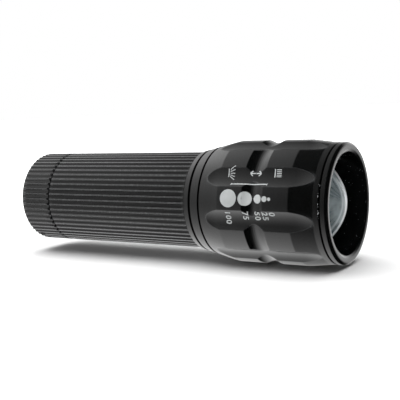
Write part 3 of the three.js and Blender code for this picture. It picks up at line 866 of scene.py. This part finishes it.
def head_stations():
    """Stations along the head's outside: its outline's own points and even steps between them."""
    even = np.arange(OUTLINE_STATIONS[0], OUTLINE_STATIONS[-1], 0.3)
    merged = np.unique(np.round(np.concatenate([OUTLINE_STATIONS, even]), 3))
    kept = [OUTLINE_STATIONS[0]]
    for station in merged:
        if station - kept[-1] > 0.04:
            kept.append(station)
    kept[-1] = OUTLINE_STATIONS[-1]
    return kept


# Pale specks are set along the head's front rim, on the side that carries the scale.
SPECKED_RIM = 0.4
SPECKS_AT = SCALE_LAND % (2 * math.pi)
SPECKS_SPAN = math.radians(17)


def make_head_sleeve():
    rings, edge = [], []
    for station in head_stations():
        angles = head_angles(station)
        surface = [head_radius(station, angle) for angle in angles]
        rings.append(ring_points(station, np.array([r for r, _ in surface]), angles))
        # Paler along the flutes' edges: partly rubbed wear, partly a painted highlight.
        wear_and_painted_light = [near for _, near in surface]
        if station > BEZEL_SEAM - SPECKED_RIM:
            near_scale = np.abs(angles - SPECKS_AT) < SPECKS_SPAN
            wear_and_painted_light = list(np.where(near_scale, SPECKS_BELOW - 0.5, wear_and_painted_light))
        edge.append(wear_and_painted_light)
    end = OUTLINE_STATIONS[-1]
    start = OUTLINE_STATIONS[0]
    inside = [(end, 15.45, 0), (end - 0.1, 15.35, 0)]
    inside += threads(end - 0.4, 94.5, 15.35, -0.25, 0.6)
    inside += [(89.5, 15.35, 0.1), (89.5, 14.45, 0.1), (LIP_END, 14.45, 0.1)]
    inside += [(LIP_END, LIP_BORE, 0.1), (start + 0.15, LIP_BORE, 0), (start, LIP_BORE + 0.15, 0)]
    tail = head_angles(start)
    for station, radius in fillet_open(inside):
        rings.append(ring_points(station, np.full(len(tail), radius), tail))
        edge.append(np.zeros(len(tail)))
    return loft("head_sleeve_fine", rings, edge)


def make_neck_collar():
    start = BODY_SEAM + NECK_GAP / 2
    end = HEAD_SEAM - NECK_GAP / 2
    return turned("neck_collar_fine", [
        (start, 13.3, 0.1), (start, COLLAR_RADIUS - 0.2, 0), (start + 0.2, COLLAR_RADIUS + 0.1, 0),
        (end - 0.12, 15.6, 0), (end, 15.45, 0), (end, 13.3, 0.1),
    ])


def make_bezel_ring():
    start = 93.0
    flange = BEZEL_SEAM + SEAM_GAP / 2
    profile = [(start, BEZEL_BORE, 0.1), (start, 15.0, 0.1)]
    profile += threads(start + 0.4, 101.6, 15.05, 0.25, 0.6)
    profile += [(101.9, 14.8, 0), (flange, 14.8, 0.05), (flange, BEZEL_RADIUS - 0.12, 0)]
    profile += [(flange + 0.12, BEZEL_RADIUS, 0), (TOTAL_LENGTH - 0.6, BEZEL_RADIUS, 0.4)]
    profile += [(TOTAL_LENGTH - 0.1, BEZEL_RADIUS - 0.55, 0.35), (TOTAL_LENGTH, BEZEL_RADIUS - 0.95, 0)]
    profile += [(TOTAL_LENGTH - 0.1, BEZEL_BORE + 0.7, 0.3), (TOTAL_LENGTH - 0.4, BEZEL_BORE, 0.12)]
    return turned("bezel_ring_fine", profile, around=192)


LENS_APEX = 103.0
LENS_CURVE_RADIUS = 10.4
LENS_CONIC = -1.1
LENS_RADIUS = 13.3


def make_lens():
    back = 89.8
    flange_end = back + 1.6
    profile = [(back, 0.01, 0), (back, 15.0, 0.1), (flange_end, 15.0, 0.1), (flange_end, LENS_RADIUS, 0.1)]
    steps = 48
    for i in range(steps, 0, -1):
        radius = LENS_RADIUS * i / steps
        root = math.sqrt(1 - (1 + LENS_CONIC) * radius ** 2 / LENS_CURVE_RADIUS ** 2)
        station = LENS_APEX - radius ** 2 / (LENS_CURVE_RADIUS * (1 + root))
        profile.append((station, radius, 0.1 if i == steps else 0))
    profile.append((LENS_APEX - 0.0001, 0.01, 0))
    return turned("lens_fine", profile, closed=False)


# ---- neck, switch and springs ----

def make_pill_body():
    profile = [(79.0, 0.01, 0), (79.0, 10.6, 0.1), (68.6, 10.6, 0.1), (68.6, 11.4, 0.1)]
    profile += [(58.2, 11.4, 0.1), (58.2, 12.4, 0), (58.4, 12.6, 0)]
    profile += threads(58.6, 63.2, 12.6, 0.25, 0.6)
    profile += [(BODY_SEAM, 12.6, 0.1), (BODY_SEAM, NECK_RADIUS, 0.1)]
    profile += [(PISTON_START, NECK_RADIUS, 0.1), (PISTON_START, PISTON_RADIUS - 0.2, 0)]
    profile += [(PISTON_START + 0.2, PISTON_RADIUS, 0), (81.9, PISTON_RADIUS, 0.05)]
    profile += [(81.9, 13.1, 0.05), (83.5, 13.1, 0.05), (83.5, PISTON_RADIUS, 0.05)]
    profile += [(PISTON_END - 0.2, PISTON_RADIUS, 0), (PISTON_END, PISTON_RADIUS - 0.2, 0)]
    profile += [(PISTON_END, 12.2, 0.1), (82.0, 12.2, 0.1), (82.0, 0.01, 0)]
    return turned("pill_body_fine", profile, closed=False)


def make_seal_ring(name, node):
    low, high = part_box(node)
    start = (low[0] - TAIL_X) / MM
    end = (high[0] - TAIL_X) / MM
    outer = (high[1] - low[1]) / 2 / MM
    section = (end - start) / 2
    steps = 14
    around = 96
    rings = []
    for i in range(steps):
        angle = 2 * math.pi * i / steps
        station = (start + end) / 2 + section * math.sin(angle)
        radius = outer - section + section * math.cos(angle)
        rings.append(ring_points(station, np.full(around, radius), even_angles(around)))
    return loft(name, rings)


def make_switch_boot():
    """The rubber button: a shallow dome with a small raised ring on it, thin walls and a clamped flange."""
    outside = [(1.0, 0.01, 0), (1.0, 1.6, 0), (1.05, 2.6, 0)]
    outside += [(1.22, 2.9, 0.2), (1.25, 3.3, 0.2), (1.18, 3.6, 0.2)]
    outside += [(1.6, 4.7, 0.5), (2.4, 5.75, 0.6), (3.4, 6.2, 0.5), (5.0, 6.2, 0.1), (5.0, 10.4, 0.1)]
    inside = [(5.8, 10.4, 0.1), (5.8, 5.2, 0.1), (3.5, 5.2, 0.4), (2.5, 4.0, 0.5)]
    inside += [(2.1, 1.5, 0), (2.1, 0.01, 0)]
    return turned("switch_boot_fine", outside + inside, around=96, closed=False)


# How much of a spring lies flat at each of its ends, in turns.
FLAT_TURNS = 0.6


def coil(name, node, start_radius, end_radius, wire, turns):
    """A round-wire spring as long as its CAD node, with its middle where that node's middle is."""
    low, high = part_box(node)
    across = 10
    steps = int(turns * 28)
    centre_y = 0.0
    centre_z = AXIS_Z
    if node.startswith("cell_spring"):
        cell_low, cell_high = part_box(node.replace("cell_spring", "cell"))
        centre_y = (cell_low[1] + cell_high[1]) / 2
        centre_z = (cell_low[2] + cell_high[2]) / 2
    rings = []
    for i in range(steps + 1):
        t = i / steps
        radius = (start_radius + (end_radius - start_radius) * t) * MM
        angle = 2 * math.pi * turns * t
        climbed = min(1.0, max(0.0, (t * turns - FLAT_TURNS) / (turns - 2 * FLAT_TURNS)))
        x = low[0] + wire * MM + climbed * (high[0] - low[0] - 2 * wire * MM)
        outward = Vector((0, math.sin(angle), -math.cos(angle)))
        centre = Vector((x, centre_y, centre_z)) + outward * radius
        ring = []
        for j in range(across):
            side = 2 * math.pi * j / across
            across_wire = math.cos(side) * outward + math.sin(side) * Vector((1, 0, 0))
            ring.append(centre + wire * MM * across_wire)
        rings.append(ring)
    return loft(name, rings, closed=False)


# ---- printed scale on the head ----

INK_HEIGHT = 0.018
INK_STEP = 0.35


def lay_on_head(name, flat):
    """Wraps a flat mesh round the head as a thin film: x is the station, y is millimetres up the side."""
    bmesh.ops.triangulate(flat, faces=flat.faces)
    for _ in range(6):
        long_edges = [e for e in flat.edges if e.calc_length() > INK_STEP]
        if not long_edges:
            break
        bmesh.ops.subdivide_edges(flat, edges=long_edges, cuts=1)
        bmesh.ops.triangulate(flat, faces=flat.faces)
    flat.verts.index_update()
    count = len(flat.verts)
    vertices = []
    for lift in (INK_HEIGHT, -INK_HEIGHT):
        for vertex in flat.verts:
            station, up, _ = vertex.co
            angle = SCALE_LAND - up / HEAD_RADIUS
            radius = head_radius(station, angle)[0] + lift
            vertices.append(ring_points(station, np.array([radius]), np.array([angle]))[0])
    faces = []
    for face in flat.faces:
        top = [vertex.index for vertex in face.verts]
        faces.append(tuple(top))
        faces.append(tuple(count + i for i in reversed(top)))
    for edge in flat.edges:
        if edge.is_boundary:
            a, b = (vertex.index for vertex in edge.verts)
            faces.append((a, b, count + b, count + a))
    flat.free()
    return new_object(name, vertices, faces)


def flat_disc(flat, station, up, diameter):
    rim = []
    corners = 40
    for i in range(corners):
        angle = 2 * math.pi * i / corners
        place = (station + diameter / 2 * math.cos(angle), up + diameter / 2 * math.sin(angle), 0)
        rim.append(flat.verts.new(place))
    flat.faces.new(rim)


def flat_stroke(flat, start, end, width):
    a = Vector((*start, 0))
    b = Vector((*end, 0))
    side = (b - a).normalized().cross(Vector((0, 0, 1))) * width / 2
    flat.faces.new([flat.verts.new(corner) for corner in (a - side, b - side, b + side, a + side)])


def flat_text(flat, words, station, up, height):
    """Numbers that read down the side of the head, with their tops towards the lens."""
    curve = bpy.data.curves.new("scale_number", "FONT")
    curve.body = words
    curve.size = 1.0
    curve.offset = 0.02
    curve.space_character = 1.15
    source = bpy.data.objects.new("scale_number", curve)
    bpy.context.scene.collection.objects.link(source)
    bpy.context.view_layer.update()
    evaluated = source.evaluated_get(bpy.context.evaluated_depsgraph_get())
    mesh = bpy.data.meshes.new_from_object(evaluated)
    tall = max(v.co.y for v in mesh.vertices)
    scale = height / tall
    squeeze = 1.05
    corners = [
        flat.verts.new((station + (v.co.y * scale - height / 2), up - v.co.x * scale * squeeze, 0))
        for v in mesh.vertices
    ]
    for polygon in mesh.polygons:
        flat.faces.new([corners[i] for i in polygon.vertices])
    bpy.data.objects.remove(source, do_unlink=True)


# The five dots of the scale: station and diameter, largest at the wide-beam end.
SCALE_DOTS = ((77.0, 4.8), (81.8, 3.8), (85.4, 2.4), (87.6, 1.5), (88.95, 0.9))
SCALE_NUMBERS = ("100", "75", "50", "25", "0")
NUMBER_STATIONS = (76.6, 81.8, 85.3, 87.55, 89.6)
NUMBER_HEIGHT = 1.6
NUMBER_START = -3.4
LINE_UP = 4.0
LINE_START = 77.3
LINE_END = 87.9
LINE_WIDTH = 0.3


def make_scale_marks():
    """The printed marks, one mesh each: the dots, the line above them, the numbers and the beam signs."""
    dots = bmesh.new()
    for station, diameter in SCALE_DOTS:
        flat_disc(dots, station, 0.0, diameter)
    yield lay_on_head("scale_dots", dots)
    line = bmesh.new()
    flat_stroke(line, (LINE_START, LINE_UP), (LINE_END, LINE_UP), LINE_WIDTH)
    for station in (LINE_START, LINE_END):
        flat_stroke(line, (station, LINE_UP - 0.28), (station, LINE_UP - 0.16), LINE_WIDTH)
        flat_stroke(line, (station, LINE_UP + 0.16), (station, LINE_UP + 0.28), LINE_WIDTH)
    yield lay_on_head("scale_line", line)
    numbers = bmesh.new()
    for words, station in zip(SCALE_NUMBERS, NUMBER_STATIONS):
        flat_text(numbers, words, station, NUMBER_START, NUMBER_HEIGHT)
    yield lay_on_head("scale_numbers", numbers)
    yield lay_on_head("beam_signs", beam_signs())


def beam_signs():
    """Signs above the line: a fan of rays at the wide end, level rays at the narrow end, arrows between."""
    flat = bmesh.new()
    low, high = 5.2, 9.4
    middle = (low + high) / 2
    for station, fan in ((76.6, 1.0), (90.2, 0.0)):
        for i in (-2, -1, 0, 1, 2):
            near = middle + 0.45 * i
            far = middle + (0.45 + 0.5 * fan) * i
            flat_stroke(flat, (station - 0.3, near), (station + 1.1, far), 0.22)
        flat_stroke(flat, (station - 0.75, middle - 1.1), (station - 0.75, middle + 1.1), 0.3)
    for side in (-1, 1):
        tip = GROOVE_STATION + side * 1.6
        flat_stroke(flat, (GROOVE_STATION + side * 0.1, middle), (tip, middle), 0.28)
        flat_stroke(flat, (tip, middle), (tip - side * 0.7, middle + 0.7), 0.28)
        flat_stroke(flat, (tip, middle), (tip - side * 0.7, middle - 0.7), 0.28)
    return flat


# ---- build ----

make_studio()

anodised = anodised_material()
bezel = bezel_material()
ink = ink_material()
rubber = rubber_material()
plastic = plastic_material()
glass = glass_material()
steel = machined_material("spring_steel", (0.50, 0.51, 0.53), (0.66, 0.67, 0.69), (0.2, 0.32))
brass = machined_material("brass", (0.62, 0.46, 0.18), (0.78, 0.60, 0.28), (0.25, 0.4), 0.3)
bare = machined_material("bare_aluminium", (0.62, 0.62, 0.63), (0.76, 0.76, 0.77), (0.25, 0.4))
green = board_material("board_green", (0.012, 0.085, 0.035), (0.03, 0.15, 0.06))
white = board_material("board_white", (0.78, 0.78, 0.76), (0.84, 0.84, 0.82))
jacket = jacket_material()
phosphor = grained("phosphor", (0.72, 0.55, 0.06), (0.85, 0.68, 0.12), (0.3, 0.45), 0.2, 0.004)
red = grained("wire_red", (0.36, 0.02, 0.015), (0.45, 0.03, 0.02), (0.4, 0.5), 0.2, 0.004)
black_wire = grained("wire_black", (0.015, 0.015, 0.016), (0.025, 0.025, 0.026), (0.4, 0.5), 0.2, 0.004)

finish_piece(make_body_tube(), anodised, "body", "body_tube")
finish_piece(make_tail_cap(), anodised, "tail_cap", "tail_cap")
finish_piece(make_neck_collar(), anodised, "body", "neck_collar")
finish_piece(make_head_sleeve(), anodised, "head", "head_sleeve")
finish_piece(make_bezel_ring(), bezel, "head", "bezel_ring")
finish_piece(make_lens(), glass, "head", "lens")
finish_piece(make_pill_body(), anodised, "body", "pill_body")
for mark in make_scale_marks():
    finish_piece(mark, ink, "head", None)

RINGS = (("tail_o_ring", "body"), ("neck_o_ring", "neck_seal"), ("lens_o_ring", "head"))
for node, body in RINGS:
    finish_piece(make_seal_ring(node + "_fine", node), rubber, body, node)

boot = make_switch_boot()
finish_piece(boot, rubber, None, "switch_boot")
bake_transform(boot)

SPRINGS = (
    ("cell_spring_1", "body", 3.2, 1.6, 0.22, 2.5), ("cell_spring_2", "body", 1.6, 3.2, 0.22, 2.5),
    ("cell_spring_3", "body", 3.2, 1.6, 0.22, 2.5), ("driver_spring", "body", 1.4, 2.2, 0.25, 2.5),
    ("switch_spring", None, 1.2, 1.2, 0.2, 3.5), ("tail_spring", None, 4.3, 2.0, 0.35, 3.2),
)
for node, body, start_radius, end_radius, wire, turns in SPRINGS:
    spring = coil(node + "_fine", node, start_radius, end_radius, wire, turns)
    finish_piece(spring, steel, body, node)
    if body is None:
        low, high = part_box(node)
        ends = ((low[0], 0, AXIS_Z), (high[0], 0, AXIS_Z))
        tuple(ends[0])
        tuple(ends[1])
        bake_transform(spring)

PLAIN_NODES = {
    "switch_plunger": plastic, "switch_housing": plastic, "switch_board": green, "switch_retainer": bare,
    "holder_rear_plate": plastic, "holder_front_plate": plastic, "driver_board": green,
    "driver_chip": plastic, "driver_coil": bare, "led_board": white, "led_emitter": white,
    "led_dome": phosphor, "led_screw_1": steel, "led_screw_2": steel, "led_wire_1": red,
    "led_wire_2": black_wire, "rear_contact_strip": brass, "front_contact_strip": brass,
    "rear_contact_pad": brass, "front_contact_pad": brass, "rear_rivet": brass, "front_rivet": brass,
}
for i in (1, 2, 3):
    PLAIN_NODES[f"cell_{i}"] = jacket
    PLAIN_NODES[f"holder_rib_{i}"] = plastic
for node, material in PLAIN_NODES.items():
    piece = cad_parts[node]
    piece.data.materials.clear()
    piece.data.materials.append(material)
